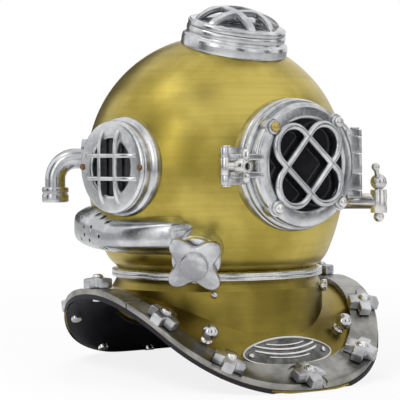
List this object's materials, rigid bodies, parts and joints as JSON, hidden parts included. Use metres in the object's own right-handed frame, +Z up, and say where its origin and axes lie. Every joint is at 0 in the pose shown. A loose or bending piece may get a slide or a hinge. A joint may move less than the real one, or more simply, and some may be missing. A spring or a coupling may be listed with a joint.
{
  "type": "diving helmet",
  "caption": "Standard-dress diving helmet: spun brass bonnet with guarded windows and a hinged faceplate, screwed to a flared breastplate with clamp straps.",
  "frame": {"origin": "centre of the footprint on the floor, under the middle of the whole helmet", "axes": "+Z up from the floor, front towards -Y, the wearer's left towards +X"},
  "size_m": [0.381, 0.3798, 0.4481],
  "materials": {
    "bonnet_brass": "brushed satin spun brass",
    "flap_brass": "darker brushed brass",
    "ring_metal": "turned and polished",
    "inner_brass": "turned brass",
    "strap_metal": "polished casting, dulled",
    "cast_fittings": "polished casting with soft edges",
    "cast_nuts": "polished sand casting",
    "polished_metal": "polished turned metal",
    "plate_metal": "antique grey with a bright rim",
    "black_lining": "satin black",
    "black_rubber": "matt",
    "leather": "oiled",
    "port_glass": "dark clear glass",
    "dark_screws": "rusty",
    "spring_steel": "bright wire"
  },
  "bodies": {
    "breastplate": {"breastplate_shell": "flap_brass", "breastplate_neck_ring": "ring_metal", "neck_gasket": "leather", "breastplate_lining": "black_lining", "brail_right_front": "strap_metal", "brail_left_front": "strap_metal", "brail_left_rear": "strap_metal", "brail_right_rear": "strap_metal", "flap_studs": "strap_metal", "brail_nuts": "cast_nuts", "flap_knobs": "polished_metal", "nameplate": "plate_metal", "nameplate_screws": "polished_metal", "collar_rivet": "polished_metal", "latch_pin": "polished_metal"},
    "bonnet": {"bonnet_shell": "bonnet_brass", "bonnet_neck_ring": "ring_metal", "front_port_frame": "cast_fittings", "faceplate_gasket": "black_rubber", "faceplate_hinge_pin": "polished_metal", "catch_pin": "polished_metal", "catch_eye_bolt": "polished_metal", "right_port_frame": "cast_fittings", "right_port_gasket": "black_rubber", "right_port_glass": "port_glass", "right_port_guard": "cast_fittings", "right_port_screws": "dark_screws", "left_port_frame": "cast_fittings", "left_port_gasket": "black_rubber", "left_port_glass": "port_glass", "left_port_guard": "cast_fittings", "left_port_screws": "dark_screws", "top_port_frame": "cast_fittings", "top_port_gasket": "black_rubber", "top_port_glass": "port_glass", "top_port_guard": "cast_fittings", "top_port_screws": "dark_screws", "exhaust_valve_body": "cast_fittings", "exhaust_spring": "spring_steel", "exhaust_channel": "cast_fittings", "right_gooseneck": "cast_fittings", "right_gooseneck_collar": "cast_fittings", "left_gooseneck": "cast_fittings", "left_gooseneck_collar": "cast_fittings", "spitcock_body": "polished_metal"},
    "faceplate": {"faceplate_ring": "cast_fittings", "faceplate_glass": "port_glass", "faceplate_glass_ring": "inner_brass", "faceplate_guard": "cast_fittings", "faceplate_bolts": "polished_metal"},
    "catch_nut": {"catch_wing_nut": "polished_metal"},
    "exhaust_wheel": {"exhaust_handwheel": "cast_nuts"},
    "exhaust_stem": {"exhaust_valve_disc": "inner_brass", "chin_button": "inner_brass"},
    "spitcock": {"spitcock_plug": "polished_metal"},
    "latch": {"safety_latch": "polished_metal"}
  },
  "joints": [
    {"name": "bonnet_turn", "type": "hinge", "parent": "breastplate", "child": "bonnet", "pos_m": [0, 0.01809, 0.12087], "axis": [0, 0.0585, 0.9983], "range_deg": [0, 45]},
    {"name": "faceplate_hinge", "type": "hinge", "parent": "bonnet", "child": "faceplate", "pos_m": [0.084, -0.13941, 0.26232], "axis": [0, 0.0585, 0.9983], "range_deg": [0, 110]},
    {"name": "wing_nut_spin", "type": "hinge", "parent": "faceplate", "child": "catch_nut", "pos_m": [-0.097, -0.15248, 0.26309], "axis": [0, -0.9983, 0.0585], "continuous": true},
    {"name": "exhaust_wheel_spin", "type": "hinge", "parent": "bonnet", "child": "exhaust_wheel", "pos_m": [-0.11855, -0.10092, 0.15232], "axis": [-0.6586, -0.6891, -0.3022], "continuous": true},
    {"name": "exhaust_stem_slide", "type": "slide", "parent": "bonnet", "child": "exhaust_stem", "axis": [-0.6586, -0.6891, -0.3022], "range_m": [0, 0.006], "stiffness_N_per_m": 400, "springref_m": -0.008, "deforming": ["exhaust_spring"]},
    {"name": "spitcock_turn", "type": "hinge", "parent": "bonnet", "child": "spitcock", "pos_m": [0.1256, -0.13736, 0.21613], "axis": [0, 0.0585, 0.9983], "range_deg": [0, 90]},
    {"name": "latch_swing", "type": "hinge", "parent": "breastplate", "child": "latch", "pos_m": [0.08433, -0.08327, 0.10928], "axis": [0.6428, -0.7647, 0.0448], "range_deg": [0, 90]}
  ]
}
